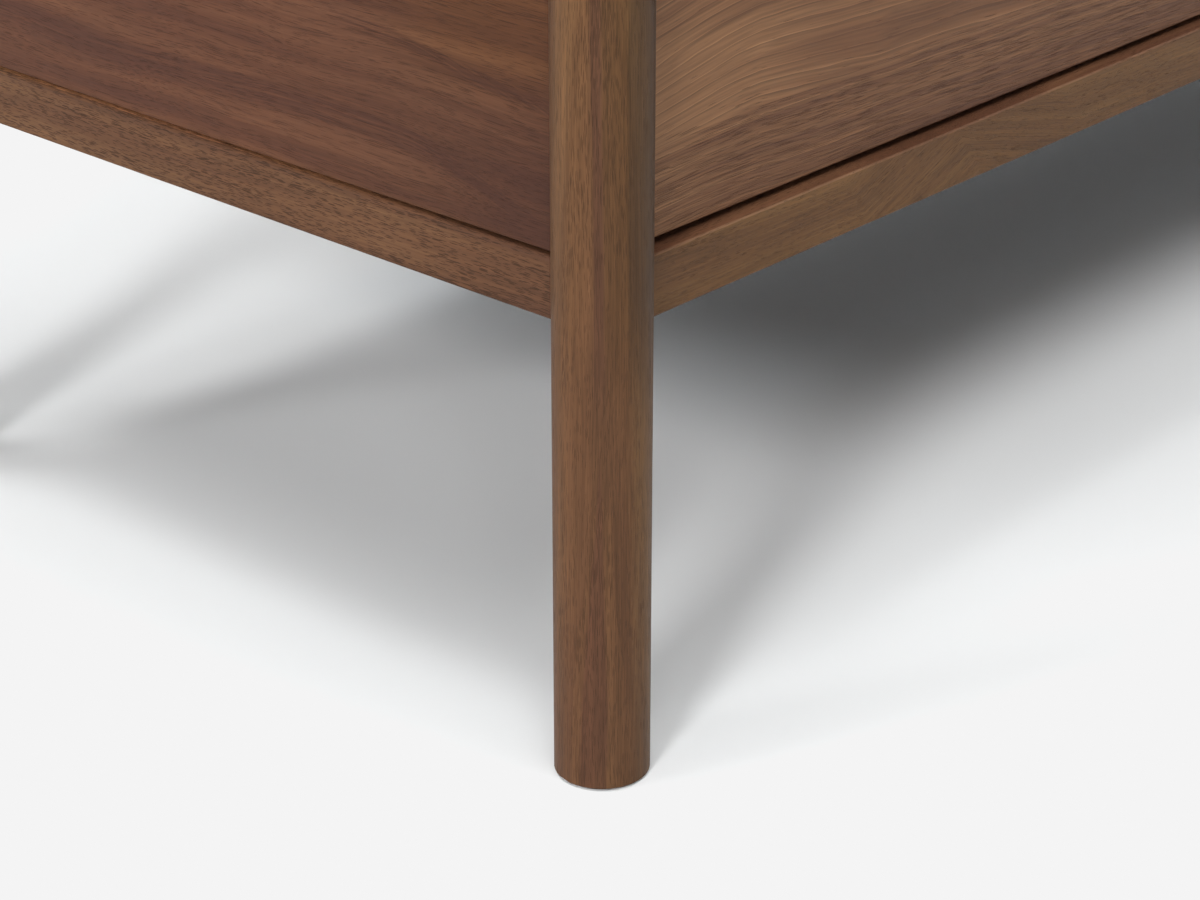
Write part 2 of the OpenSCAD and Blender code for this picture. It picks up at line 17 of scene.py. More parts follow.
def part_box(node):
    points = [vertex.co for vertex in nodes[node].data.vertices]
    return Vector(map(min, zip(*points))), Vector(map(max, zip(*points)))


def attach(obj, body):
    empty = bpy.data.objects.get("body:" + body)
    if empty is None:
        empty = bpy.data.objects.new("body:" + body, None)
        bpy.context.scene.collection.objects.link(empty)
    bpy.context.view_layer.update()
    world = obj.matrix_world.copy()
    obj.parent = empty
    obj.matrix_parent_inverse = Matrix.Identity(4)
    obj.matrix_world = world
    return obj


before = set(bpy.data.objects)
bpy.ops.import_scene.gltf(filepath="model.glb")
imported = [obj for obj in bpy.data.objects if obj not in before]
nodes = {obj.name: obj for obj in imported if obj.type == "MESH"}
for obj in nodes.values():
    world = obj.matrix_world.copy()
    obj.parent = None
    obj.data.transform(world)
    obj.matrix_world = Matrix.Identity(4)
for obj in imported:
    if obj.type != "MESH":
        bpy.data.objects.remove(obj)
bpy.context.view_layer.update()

# %% [markdown]
# The camera
#
# The picture is taken from the front left, 25 degrees above the floor, with a long lens close
# to the foot of one post. The post's foot is the easiest thing to find in such a picture, so
# the camera is placed by its distance from that foot. A long lens keeps the post upright and
# almost parallel, and it has neither shift nor depth of field, so other views can use it too.

# %% Camera
LENS, SENSOR = 90.05, 36                     # millimetres
FROM_FOOT = (-0.7975, -0.7206, 0.65365)      # metres, from the middle of the post's foot
TURNED = (64.71, 0, -47.853)                 # degrees about x, y and z
camera_data = bpy.data.cameras.new("camera")
camera_data.lens, camera_data.sensor_width = LENS, SENSOR
camera = bpy.data.objects.new("camera", camera_data)
bpy.context.scene.collection.objects.link(camera)
low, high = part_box("front_left_leg")
foot = Vector(((low.x + high.x) / 2, (low.y + high.y) / 2, 0))
camera.location = foot + Vector(FROM_FOOT)
camera.rotation_euler = [math.radians(a) for a in TURNED]
bpy.context.scene.camera = camera
print("camera at", [round(c, 4) for c in camera.location])

# %% [markdown]
# The light
#
# The shadows on the floor tell how the studio was lit: a big soft lamp above and a little in
# front, a smaller one low on the left that draws the sharp edges, and weak ones around them.
# Each is a sun here, which lights the whole floor evenly, and its angle sets how soft its
# shadow is. Together they overexpose the paper, as a studio does to lose its creases, and the
# tone curve of the picture then stops every white at the same pale grey.

# %% Lights, surroundings and tone curve
LAMPS = {
    # name: (azimuth, elevation and softness in degrees, light on the floor, 1 for full white)
    "above": (280, 77, 60, 0.40),
    "rear_above": (120, 71, 12, 0.256),
    "right_above": (340, 83, 12, 0.156),
    "left": (200, 29, 12, 0.30),
    "left_low": (217, 33, 12, 0.05),
    "front_left": (240, 51, 14, 0.08),
    "front_low": (230, 12, 12, 0.06),
    "front": (270, 60, 16, 0.07),
    "rear_left": (157, 28, 12, 0.08),
}
WHITE = 0.905               # the light at which the tone curve stops every white
ALL_ROUND = 0.02            # a trace of light from everywhere
for name, (azimuth, elevation, softness, light) in LAMPS.items():
    lamp = bpy.data.lights.new(name, "SUN")
    lamp.angle = math.radians(softness)
    lamp.energy = math.pi * light / math.sin(math.radians(elevation))
    holder = bpy.data.objects.new(name, lamp)
    bpy.context.scene.collection.objects.link(holder)
    a, e = math.radians(azimuth), math.radians(elevation)
    towards = Vector((math.cos(a) * math.cos(e), math.sin(a) * math.cos(e), math.sin(e)))
    holder.rotation_euler = towards.to_track_quat("Z", "Y").to_euler()
world = bpy.data.worlds.new("studio")
bpy.context.scene.world = world
world.use_nodes = True
surroundings = world.node_tree.nodes["Background"].inputs
surroundings["Color"].default_value = (WHITE, WHITE, WHITE, 1)
surroundings["Strength"].default_value = ALL_ROUND
view = bpy.context.scene.view_settings
view.view_transform = "Standard"
view.use_curve_mapping = True
tones = view.curve_mapping
tones.extend = "HORIZONTAL"
points = tones.curves[3].points
points[0].location, points[1].location = (0.0, 0.0), (WHITE, WHITE)
for point in points:
    point.handle_type = "VECTOR"
tones.update()
print("lamps:", ", ".join(LAMPS))

# %% [markdown]
# Writing a finish as sums
#
# A wood grain is mostly arithmetic on the place of a point, and that is hard to read as a web
# of nodes. So a socket is wrapped in a small class that knows plus, minus, times and so on:
# each sign adds one Math node, and the finish reads like the formula that it is.

# %% Finish and Wire
class Wire:
    """A socket that can be added, subtracted, multiplied, divided and raised to a power."""

    def __init__(self, finish, socket):
        self.finish, self.socket = finish, socket

    def sum(self, operation, *others):
        settings = {"operation": operation}
        return self.finish.node("ShaderNodeMath", settings, dict(enumerate((self,) + others)))

    def __add__(self, other): return self.sum("ADD", other)
    def __mul__(self, other): return self.sum("MULTIPLY", other)
    def __sub__(self, other): return self.sum("SUBTRACT", other)
    def __truediv__(self, other): return self.sum("DIVIDE", other)
    def __pow__(self, other): return self.sum("POWER", other)
    __radd__, __rmul__ = __add__, __mul__

    def __rsub__(self, other): return self.sum("MULTIPLY_ADD", -1.0, other)

    def sine(self): return self.sum("SINE")
    def fraction(self): return self.sum("FRACT")
    def whole(self): return self.sum("FLOOR")
    def size(self): return self.sum("ABSOLUTE")
    def least(self, other): return self.sum("MINIMUM", other)
    def most(self, other): return self.sum("MAXIMUM", other)

    def rise(self, start, end, low=0.0, high=1.0):
        """low up to start, high from end on, and a smooth curve between them."""
        return self.finish.node("ShaderNodeMapRange", {"interpolation_type": "SMOOTHSTEP"},
                                {0: self, 1: start, 2: end, 3: low, 4: high})


class Finish:
    """A material in the making: node() adds a node, its settings first and then its sockets."""

    def __init__(self, name):
        self.material = bpy.data.materials.new(name)
        self.material.use_nodes = True
        self.tree = self.material.node_tree
        self.surface = self.tree.nodes["Principled BSDF"]

    def node(self, kind, settings=None, sockets=None, out=0):
        """Adds a node and returns one of its outputs as a Wire. The setting stops is for a
        colour ramp: pairs of a place and a colour."""
        node = self.tree.nodes.new(kind)
        for key, value in (settings or {}).items():
            if key == "stops":
                stops = node.color_ramp.elements
                while len(stops) < len(value):
                    stops.new(0.5)
                for stop, (place, colour) in zip(stops, value):
                    stop.position, stop.color = place, (*colour, 1)
            else:
                setattr(node, key, value)
        for key, value in (sockets or {}).items():
            self.feed(node.inputs[key], value)
        return Wire(self, node.outputs[out])

    def feed(self, socket, value):
        """Links a Wire to a socket, or sets the socket to a constant."""
        if isinstance(value, Wire):
            self.tree.links.new(value.socket, socket)
        elif socket.type == "RGBA":
            socket.default_value = (*value[:3], 1)
        else:
            socket.default_value = value

    def set(self, **values):
        """Sets the shader's own sockets, a varying one from a Wire and a constant as it is."""
        for key, value in values.items():
            self.feed(self.surface.inputs[key.replace("_", " ")], value)

    def parts(self, kind, whole):
        """The three parts of a vector or colour, by the node that separates them."""
        node = self.node(kind, None, {0: whole}).socket.node
        return [Wire(self, output) for output in node.outputs[:3]]

    def place(self):
        """x, y and z of the point on the object, in millimetres."""
        at = self.node("ShaderNodeTexCoord", out="Object")
        at = self.node("ShaderNodeVectorMath", {"operation": "SCALE"}, {0: at, "Scale": 1000.0})
        return self.parts("ShaderNodeSeparateXYZ", at)

    def vector(self, x, y, z):
        """One place from three numbers."""
        return self.node("ShaderNodeCombineXYZ", None, {0: x, 1: y, 2: z})

    def facing(self, axis):
        """1 where the surface faces along an axis, as end grain does, and 0 beside it."""
        normal = self.node("ShaderNodeTexCoord", out="Normal")
        facing = self.parts("ShaderNodeSeparateXYZ", normal)
        return facing["XYZ".index(axis)].size().rise(0.68, 0.72)

    def noise(self, x, y, z, detail=0.0, out="Fac"):
        """Smooth noise at a place, half way between 0 and 1 on the whole."""
        return self.node("ShaderNodeTexNoise", None,
                         {"Vector": self.vector(x, y, z), "Scale": 1.0, "Detail": detail}, out)

    def mix(self, factor, one, other):
        """The colour one where factor is 0 and the colour other where it is 1."""
        return self.node("ShaderNodeMix", {"data_type": "RGBA"},
                         {0: factor, 6: one, 7: other}, out=2)

    def shade(self, colour, factor):
        """A colour made lighter or darker by a factor."""
        return self.node("ShaderNodeVectorMath", {"operation": "SCALE"},
                         {0: colour, "Scale": factor})

    def tinge(self, colour, factor, tinge):
        """A colour turned by a tinge of red, green and blue, as far as the factor says."""
        turned = self.node("ShaderNodeVectorMath", {"operation": "MULTIPLY"},
                           {0: colour, 1: tinge})
        return self.mix(factor, colour, turned)

    def bump(self, height, depth):
        """Relief from a height of 0 to 1, depth in millimetres."""
        relief = self.node("ShaderNodeBump", None,
                           {"Height": height, "Distance": depth / 1000, "Strength": 1.0})
        self.set(Normal=relief)


def linear(red, green, blue):
    """A colour named as it looks on the screen, 0 to 255, turned into light."""
    return tuple((c / 255 / 12.92) if c <= 10 else ((c / 255 + 0.055) / 1.055) ** 2.4
                 for c in (red, green, blue))


def dress(names, finish):
    """Gives the finish to the material slots of the named CAD nodes."""
    for name in names:
        for slot in nodes[name].material_slots:
            slot.material = finish.material


def middle_of(name, grain):
    """The middle of a CAD node on the two axes across its grain, in millimetres."""
    low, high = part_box(name)
    return [c * 500 for c, axis in zip(low + high, "XYZ") if axis != grain]


# %% [markdown]
# Wood
#
# A board is a slice through a trunk, and its figure is where the slice meets the growth rings.
# So the finish keeps the tree's heart as a line near the board and asks how far each point is
# from it: rings, colour bands and the pointed arches of a flat-sawn face all follow, and the
# end grain of the same board comes out right by itself. Fine fibres and the long dark pores
# that walnut is known for are noise drawn out along the grain. Each board gets its own heart.

# %% The figure of a board
APART = 17.3               # how far two boards lie apart in the noise, for each seed
DRIFT = (200, 70)          # how far along and across a ring runs before it strays, in mm
TREMBLE, SHAKE = (26, 8), 0.8     # the same for the small waves of a ring, and their height
YEARS_UNLIKE = 1.2         # by how many years the width of the rings varies
STREAK_L, STREAK_W = 90, 2.4      # the broader streaks, in mm
GATHER, EARLY = 0.35, 0.16        # how strongly pores gather, and that they come early in a year
PORE_DARK = 0.42           # the colour inside a pore, as a share of dark wood


def figure(f, axes, grain, heart, colours, lean=(0.0, 0.0), at=0.0, ring=6.0, seed=0.0,
           wander=6.0, line=0.12, glow=0.0, fibre=(0.45, 36.0, 0.7), streak=0.18,
           pore=(7.0, 0.5, 0.35, 0.6), bands=(12.0, 320.0), spread=(0.3, 0.7),
           bend=None, tint=None, veins=None, crowding=None, split=None):
    """Colour, pores and fibre height of a board, all lengths in millimetres. axes: x, y and z
    of the point. grain: the axis along the board. heart: where the tree's heart passes, across
    the board. colours: dark, middle and light wood, and spread the tones that the dark and the
    light one stand for. lean: how far the heart moves across for each millimetre along, from
    the place at. ring: the width of a year, line and glow its dark and light edges. seed: tells
    boards apart. wander: how far the rings stray. fibre: strength, length and width. streak:
    strength of the broader streaks. pore: length, width, share and strength. bands: width and
    length of the colour bands. bend and tint: functions of along, across and up that lift the
    figure and that shift its tone; some tints add painted shade and painted light.
    veins: a function of the finish, the colour and those three that lays
    coloured veins, painted light and painted shade over the board. crowding: a function of the
    three that gathers the pores or thins them out. split: a function that moves the three, for a
    panel glued up from several boards."""
    axes = list(axes)
    along = axes.pop("XYZ".index(grain))
    across, up = axes
    if split is not None:
        along, across, up = split(along, across, up)
    shift = seed * APART
    drift = f.noise(along / DRIFT[0] + shift, across / DRIFT[1], up / DRIFT[1], 2.0, "Color")
    drift = f.parts("ShaderNodeSeparateColor", drift)
    tremble = f.noise(along / TREMBLE[0], across / TREMBLE[1] + shift, up / TREMBLE[1], 1.0)
    du = across - heart[0] - (along - at) * lean[0] + (drift[0] - 0.5) * (2 * wander)
    dv = up - heart[1] - (along - at) * lean[1] + (drift[1] - 0.5) * (2 * wander)
    if bend is not None:
        dv = dv + bend(along, across, up)
    radius = (du * du + dv * dv) ** 0.5 + (tremble - 0.5) * SHAKE
    years = radius / ring + (drift[2] - 0.5) * YEARS_UNLIKE
    year = years.fraction()
    band = f.noise(radius / bands[0], along / bands[1] + shift, shift, 3.0)
    each = f.noise(years.whole() * 0.77 + shift, 3.1, 0.7)
    tone = band * 0.8 + each * 0.2
    if tint is not None:
        tone = tone + tint(along, across, up)
    dark, middle, light = colours
    stops = [(spread[0], dark), (sum(spread) / 2, middle), (spread[1], light)]
    colour = f.node("ShaderNodeValToRGB", {"stops": stops}, {0: tone})
    strength, length, width = fibre
    fine = f.noise(along / length, du / width, dv / width + shift, 1.5)
    grainy = f.noise(along / STREAK_L + shift, du / STREAK_W, dv / STREAK_W, 2.0)
    value = (1 - year.rise(0.7, 1.0) * line) * (1 + (fine - 0.5) * (2 * strength))
    value = value * (1 + (grainy - 0.5) * (2 * streak))
    if glow:
        value = value + year.rise(0.0, 0.14, glow, 0.0) * tone.rise(spread[0], spread[1])
    length, width, share, strength = pore
    cell = f.node("ShaderNodeTexVoronoi", {"feature": "F1"},
                  {"Vector": f.vector(along / length, du / width, dv / width + shift),
                   "Scale": 1.0})
    crowd = f.noise(radius / 4 + shift, along / 50, 2.2, 1.0)
    reach = share + (crowd - 0.5) * GATHER - (year - 0.5) * EARLY
    if crowding is not None:
        reach = reach + crowding(along, across, up)
    hole = (reach - cell).rise(0.0, 0.09)
    if veins is not None:
        colour = veins(f, colour, along, across, up)
    colour = f.mix(hole * strength, f.shade(colour, value), [c * PORE_DARK for c in dark])
    return colour, hole, fine


END_GRAIN = 0.22           # how much darker the ends of a board turn under the lacquer


def board(name, grain, gloss=0.48, depth=0.08, **choices):
    """Dresses one board, lacquered to the given roughness, its pores open by depth in mm."""
    f = Finish(name)
    colour, hole, fine = figure(f, f.place(), grain=grain, **choices)
    colour = f.shade(colour, 1 - f.facing(grain) * END_GRAIN)
    f.set(Base_Color=colour, Roughness=gloss + (fine - 0.5) * 0.12 + hole * 0.15,
          Specular_IOR_Level=0.12)
    f.bump(fine * 0.25 - hole * 0.75 + 0.75, depth)
    dress([name], f)


# %% [markdown]
# The walnut boards
#
# Black walnut runs from a purplish dark brown to tan, and a maker picks boards so that the
# fronts and sides of one dresser go together without matching. Each piece here has its own
# heart, ring width and pores. The left side is a quiet veneer with a few dark waves, the rail
# below it is coarse and lighter, and the bottom left front is the lively one, with a band of
# tan wood and rings that droop towards the post.

# %% Walnut's colours
def walnut_tones(light=1.0, contrast=1.0, cast=(1.0, 1.0, 0.87)):
    """Dark, middle and light walnut, made lighter or plainer, with a cast of colour."""
    middle = linear(87, 60, 44)
    tones = []
    for tone in (linear(69, 45, 37), middle, linear(110, 81, 60)):
        tone = [(m + (t - m) * contrast) * light for t, m in zip(tone, middle)]
        tones.append(tuple(t * c for t, c in zip(tone, cast)))
    return tones


# %% The four posts
POSTS = {"front_left_leg": (-742.5, -226), "front_right_leg": (742.5, -226),
         "rear_left_leg": (-742.5, 234), "rear_right_leg": (742.5, 234)}
POST_TONES = walnut_tones(contrast=0.6, cast=(1.0, 0.99, 0.74))
# the tinges of the veins, of a painted highlight on a post's far left edge, and of painted
# shade and painted grey light on its right side, as factors of red, green and blue
TAN_AND_HIGHLIGHT, PURPLE = (1.13, 1.12, 1.12), (0.79, 0.74, 0.86)
ORANGE, PAINTED_OLIVE_SHADE, PAINTED_GREY_LIGHT = (0.84, 0.84, 0.76), (0.62, 0.66, 0.68), (1.2, 1.3, 1.27)
# beside the rails: a tinge, and where it sets in and ends, in millimetres across the face
HIGH_VEINS = [(TAN_AND_HIGHLIGHT, (-6.6, -5.6), (-4.0, -5.0)), (PURPLE, (-4.4, -3.2), (0.6, -0.8)),
              (ORANGE, (-0.4, 1.0), (11.0, 9.6))]


def darker_foot(along, across, up):
    """A post is a little darker towards its foot."""
    return along.rise(0.0, 130.0, -0.11, 0.0)


def post_veins_and_painted_light(x, y, turn):
    """The veins of the post whose middle is at x and y, with painted light and shade: tan wood,
    a thin purple vein and orange wood side by side across the face that looks the way turn says,
    and painted shade in olive on its right beside the rails. Below the rails the right side gets
    painted grey light and the far left edge a painted highlight, and the purple vein widens
    from a point to the foot."""
    across_face = (math.sin(turn), -math.cos(turn))

    def veins(f, colour, along, across, up):
        waver = f.noise(along / 70, across / 9 + turn, up / 9, 2.0) - 0.5
        at = (across - x) * across_face[0] + (up - y) * across_face[1] + waver * 3.0
        high = along.rise(150.0, 225.0)          # 1 beside the rails, 0 below them
        edge = at - (262 - along) * 0.009        # millimetres across the face, leaning a little
        colour = f.tinge(colour, edge.rise(-4.5, -6.5), TAN_AND_HIGHLIGHT)
        for tinge, sets_in, ends in HIGH_VEINS:
            colour = f.tinge(colour, edge.rise(*sets_in) * edge.rise(*ends) * high, tinge)
        # painted shade, in olive, on the right of the post beside the rails
        colour = f.tinge(colour, edge.rise(9.0, 10.6) * high, PAINTED_OLIVE_SHADE)
        # painted grey light on the right of the post below the rails
        colour = f.tinge(colour, edge.rise(8.0, 14.0) * (1 - high), PAINTED_GREY_LIGHT)
        # a painted highlight along the far left edge of the post below the rails
        colour = f.tinge(colour, edge.rise(-11.0, -15.0) * (1 - high), TAN_AND_HIGHLIGHT)
        point = ((152 - along) * 0.05).most(-2.0).least(5.5)
        inside = (point - (at + 0.5 + (150 - along) * 0.022).size()).rise(-0.7, 0.9)
        return f.tinge(colour, inside, PURPLE)

    return veins


for number, (name, (x, y)) in enumerate(POSTS.items()):
    # the heart of each post lies on another side of it, and a little farther away
    turn, away = math.radians(42 + 97 * number), 52 + 9 * number
    heart = (x + math.cos(turn) * away, y + math.sin(turn) * away)
    board(name, grain="Z", heart=heart, at=150, lean=(-0.02, -0.018), ring=5.5, seed=1 + number,
          line=0.08, wander=3.0, colours=POST_TONES, pore=(10.0, 0.36, 0.34, 0.55),
          bands=(7.0, 400.0), fibre=(0.5, 80.0, 0.55), tint=darker_foot,
          veins=post_veins_and_painted_light(x, y, turn))
print("posts dressed:", len(POSTS))

# %% The side panels and the back
VENEER = walnut_tones(0.765, contrast=0.65, cast=(0.94, 0.76, 0.68))
PALER, WARMER = (1.2, 1.16, 1.12), (1.13, 1.09, 0.8)


def dark_waves_and_post_shade(along, across, up):
    """Two dark waves run through the veneer: a broad one that falls away towards the front
    post, and a fine one above it. Low down by that post the veneer is darker still: painted
    shade of the post together with a darker streak."""
    fall = ((-130 - along).most(0.0) / 51) ** 1.5 * 11.0
    broad = up - 257.5 - (along / 36.6 + 3.48).sine() * 2.4 + fall
    fine = up - 296 - (along + 125) * 0.1 - (along / 25).sine() * 1.2
    waves = broad.rise(4.0, 0.5) * broad.rise(-11.0, -1.0) * 0.12
    fine = fine.rise(2.5, 0.3) * fine.rise(-6.0, -0.5) * along.rise(-70.0, -115.0)
    waves = waves + fine * 0.16
    lines = along.finish.noise(along / 70, across, (broad + along * 0.02) / 0.8, 1.0)
    # painted shade of the front post, with a darker streak of veneer, low down beside it
    corner = along.rise(-210.0, -130.0, 0.2, 0.0) * up.rise(285.0, 255.0)
    return (waves * lines.rise(0.38, 0.62, 0.2, 2.6) + corner) * -1


def warm_patch(f, colour, along, across, up):
    """High up by the front post the veneer turns a warm orange brown, and it is paler behind."""
    colour = f.tinge(colour, along.rise(-160.0, -20.0), PALER)
    return f.tinge(colour, along.rise(-90.0, -170.0) * up.rise(270.0, 310.0), WARMER)


SIDE_HEARTS = {"left_side_panel": (-725, 60), "right_side_panel": (725, 30)}
for number, (name, heart) in enumerate(SIDE_HEARTS.items()):
    board(name, grain="Y", heart=heart, ring=4.2, seed=7 + number, line=0.08, wander=9.0,
          colours=VENEER, pore=(15.0, 0.45, 0.34, 0.5), bands=(9.0, 220.0), streak=0.09,
          fibre=(0.35, 60.0, 0.5), gloss=0.44, depth=0.05, tint=dark_waves_and_post_shade, veins=warm_patch)
board("back_panel", grain="X", heart=(300, 980), ring=6.0, seed=34, line=0.1, wander=12.0,
      colours=walnut_tones(contrast=0.7), pore=(11.0, 0.5, 0.3, 0.5), bands=(14.0, 420.0),
      streak=0.09, gloss=0.6, depth=0.05)
print("panels dressed:", len(SIDE_HEARTS) + 1)

# %% The rails
COARSE_RAILS = {"left_lower_rail", "right_upper_rail", "back_lower_rail"}
RAILS = [f"{side}_{level}_rail" for side in ("left", "right", "front", "back")
         for level in ("lower", "upper")]
# painted light on the front rail's top, a painted highlight on its edge, painted light in seams
PAINTED_TOP_LIGHT, PAINTED_ARRIS_HIGHLIGHT, PAINTED_SEAM_LIGHT = (1.2, 1.08, 1.5), (1.42, 1.5, 2.2), (3.4, 3.4, 3.4)


def chevron(along, across, up):
    """The grain of the front rail turns down on both sides of a place near its left end."""
    return ((along + 515 + (up - 212) * 0.8).size() * 0.3).least(24.0)


def painted_shade_by_post(along, across, up):
    """Painted shade of the front post: a side rail is darker by that post and paler towards
    the back.
    """
    return (along + 60) * 0.0002 + along.rise(-200.0, -110.0, -0.1, 0.0)


def painted_light_on_rail_edge(f, colour, along, across, up):
    """Painted light on the front rail: its upper face is lighter, and its eased edge gets a
    painted highlight.
    """
    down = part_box("front_lower_rail")[1].z * 1000 - up
    # painted light on the upper face
    colour = f.tinge(colour, down.rise(0.12, 0.03), PAINTED_TOP_LIGHT)
    # a painted highlight along the eased edge
    return f.tinge(colour, down.rise(0.9, 0.6) * down.rise(0.03, 0.12), PAINTED_ARRIS_HIGHLIGHT)


def painted_light_in_seam(f, colour, along, across, up):
    """The shadow line over a lower side rail fades towards the back: there, painted light
    brightens the rail's upper face inside it, behind the face of the panel."""
    top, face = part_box("left_lower_rail")[1].z * 1000, -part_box("left_side_panel")[0].x * 1000
    seam = up.rise(top - 0.3, top - 0.1) * (face - across.size()).rise(-0.2, 0.0)
    # painted light inside the shadow line, towards the back
    return f.tinge(colour, seam * along.rise(-190.0, 20.0), PAINTED_SEAM_LIGHT)


LAYERED = {"front_lower_rail": painted_light_on_rail_edge, "left_lower_rail": painted_light_in_seam,
           "right_lower_rail": painted_light_in_seam}
COARSE = dict(colours=walnut_tones(1.0, contrast=0.65, cast=(1.0, 0.93, 0.76)),
              pore=(6.5, 0.45, 0.39, 0.8))
PLAIN = dict(colours=walnut_tones(1.06, contrast=0.75, cast=(0.97, 0.98, 0.65)),
             pore=(6.0, 0.4, 0.34, 0.5))
for number, name in enumerate(RAILS):
    grain = "Y" if name.startswith(("left", "right")) else "X"
    middle = middle_of(name, grain)
    board(name, grain=grain, heart=(middle[0] + 30, middle[1] - 40 - 9 * number), ring=5.0,
          seed=11 + number, line=0.06, wander=4.0, tint=painted_shade_by_post if grain == "Y" else None,
          bend=chevron if name == "front_lower_rail" else None, veins=LAYERED.get(name),
          **(COARSE if name in COARSE_RAILS else PLAIN))
print("rails dressed:", len(RAILS))

# %% [markdown]
# The top
#
# No walnut tree gives a board half a metre wide that stays flat, so a top is glued up from
# staves about a hand wide, side by side. Each stave comes from another place in the tree, and
# the finish does the same: it moves the point that it asks about by an amount of its own for
# each stave, and then draws one board's figure.

# %% The top and the stile
STAVE = 84.0               # millimetres across one stave


def staves(along, across, up):
    """Moves each stave of a glued-up top to a place of its own in the tree."""
    stave = ((across + 250) / STAVE).whole()
    own = (stave * 2.4 + 0.7).sine()
    return along + stave * 731, across + 250 - stave * STAVE + own * 45, up + own * 14


board("top", grain="X", heart=(60, 742), lean=(0.012, 0.012), ring=6.5, seed=31, line=0.12,
      wander=5.0, colours=walnut_tones(1.05, contrast=0.85), gloss=0.42, bands=(8.0, 500.0),
      pore=(10.0, 0.45, 0.35, 0.6), streak=0.1, split=staves)
board("centre_stile", grain="Z", heart=(30, -190), seed=33, colours=walnut_tones())
print("top and stile dressed")

# %% The drawer fronts and knobs
DRAWERS = [f"{row}_{column}_drawer" for row in ("bottom", "middle", "top")
           for column in ("left", "right")]


def droop(along, across, up):
    """The rings fall away towards the post, most of all high up, and sink the other way."""
    fall = ((-655 - along).most(0.0) / 60) ** 1.6 * up.rise(255.0, 300.0, 2.0, 5.0)
    return fall + (along + 655).most(0.0) * 0.03


def wide_years(along, across, up):
    """The droop, with years that are twice as wide in the tan wood as below it."""
    return droop(along, across, up) - (up - 268).most(0.0) * 0.5


def tan_band_and_painted_light(along, across, up):
    """Tan wood in a band a little below the middle, over reddish brown wood with more pores,
    which is darkest along the lower edge away from the post. Right by the post, painted light
    lifts the tone against the post's shadow."""
    height = up + droop(along, across, up)
    band = height.rise(256.0, 286.0, 0.0, 0.3) + height.rise(303.0, 314.0, 0.0, -0.25)
    lowest = up.rise(250.0, 234.0) * along.rise(-620.0, -480.0) * 0.2
    band = band * along.rise(-675.0, -600.0, 1.0, 0.25)
    # painted light right by the post, against its shadow
    return band + along.rise(-715.0, -665.0, 0.12, 0.0) - lowest


def fewer_pores(along, across, up):
    """The tan wood is smooth, and the wood below it is full of pores."""
    return (up + droop(along, across, up)).rise(258.0, 282.0, 0.03, -0.25)


FRONT_TONES = walnut_tones(1.25, contrast=0.72, cast=(1.0, 0.98, 0.86))
QUIET = dict(ring=5.0, line=0.12, glow=0.2, spread=(0.3, 0.7), bands=(5.0, 600.0))
LIVELY = dict(ring=2.7, line=0.25, glow=0.38, spread=(0.22, 0.78), bands=(2.4, 600.0),
              bend=wide_years, tint=tan_band_and_painted_light, crowding=fewer_pores)
for number, drawer in enumerate(DRAWERS):
    low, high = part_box(drawer + "_front")
    base = low.z * 1000
    if drawer == "bottom_left_drawer":
        choices = dict(LIVELY, heart=(-205, base - 95))
    else:
        choices = dict(QUIET, heart=(-150 + 22 * (number % 3), base + 30 + 31 * number),
                       lean=(0.06 * (-1) ** number, 0.03), at=low.x * 1000 + 200)
    board(drawer + "_front", grain="X", wander=4.0, seed=41 + number, colours=FRONT_TONES,
          pore=(22.0, 0.4, 0.37, 0.55), streak=0.07, fibre=(0.45, 90.0, 0.5), **choices)
    board(drawer + "_knobs", grain="Y", heart=(low.x * 500 + high.x * 500 + 60, base + 60),
          ring=3.5, seed=51 + number, colours=walnut_tones(1.1), gloss=0.4)
print("drawer fronts dressed:", len(DRAWERS))

# %% [markdown]
# Plywood
#
# Plywood shows a quiet peeled face on its broad sides and its layers on every edge: thin
# sheets whose grain turns by a right angle each time, with a dark line of glue between them.
# The finish looks at which way the surface faces. The broad sides get the figure of a board
# and the edges get stripes that count the sheets from one face of the panel.

# %% The plywood finish
BIRCH = (linear(176, 146, 106), linear(193, 166, 128), linear(204, 181, 146))


def plywood(node, grain, through, seed, face=BIRCH, sheet=1.5):
    """Dresses a panel of plywood. grain: the axis along the face sheet. through: the axis of
    the thickness. face: the colours of the face sheet. sheet: the thickness of each, in
    millimetres."""
    f = Finish(node)
    axes = f.place()
    low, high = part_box(node)
    heart = [c + 160 if axis == through else c - 40
             for c, axis in zip(middle_of(node, grain), "XYZ".replace(grain, ""))]
    colour, _, fine = figure(f, axes, grain=grain, heart=heart, colours=face, ring=11.0,
                             seed=seed, wander=8.0, line=0.07, pore=(6.0, 0.3, 0.28, 0.3),
                             bands=(9.0, 260.0), fibre=(0.22, 22.0, 0.4), streak=0.09)
    index = "XYZ".index(through)
    edge = 1 - f.facing(through)
    sheets = (axes[index] - low[index] * 1000) / sheet
    turned = (sheets.whole() * 0.5).fraction() * 2
    glue = (sheets.fraction() - 0.5).size().rise(0.42, 0.5)
    layers = f.shade(f.mix(turned, BIRCH[1], BIRCH[0]), 1.0 + (fine - 0.5) * 0.25 - glue * 0.45)
    f.set(Base_Color=f.mix(edge, colour, layers),
          Roughness=0.5 + edge * 0.15 + (fine - 0.5) * 0.1, Specular_IOR_Level=0.2)
    f.bump(fine * (0.4 + edge * 0.6), 0.06)
    dress([node], f)


# %% Plywood panels
plywood("centre_divider", "Z", "X", seed=61)
plywood("bottom_panel", "X", "Z", seed=62,
        face=walnut_tones(0.6, contrast=0.7, cast=(0.85, 1.0, 1.2)))
plywood("slide_battens", "Y", "X", seed=63)
for number, drawer in enumerate(DRAWERS):
    plywood(drawer + "_base", "X", "Z", sheet=1.2, seed=64 + number)
print("plywood pieces dressed:", 3 + len(DRAWERS))

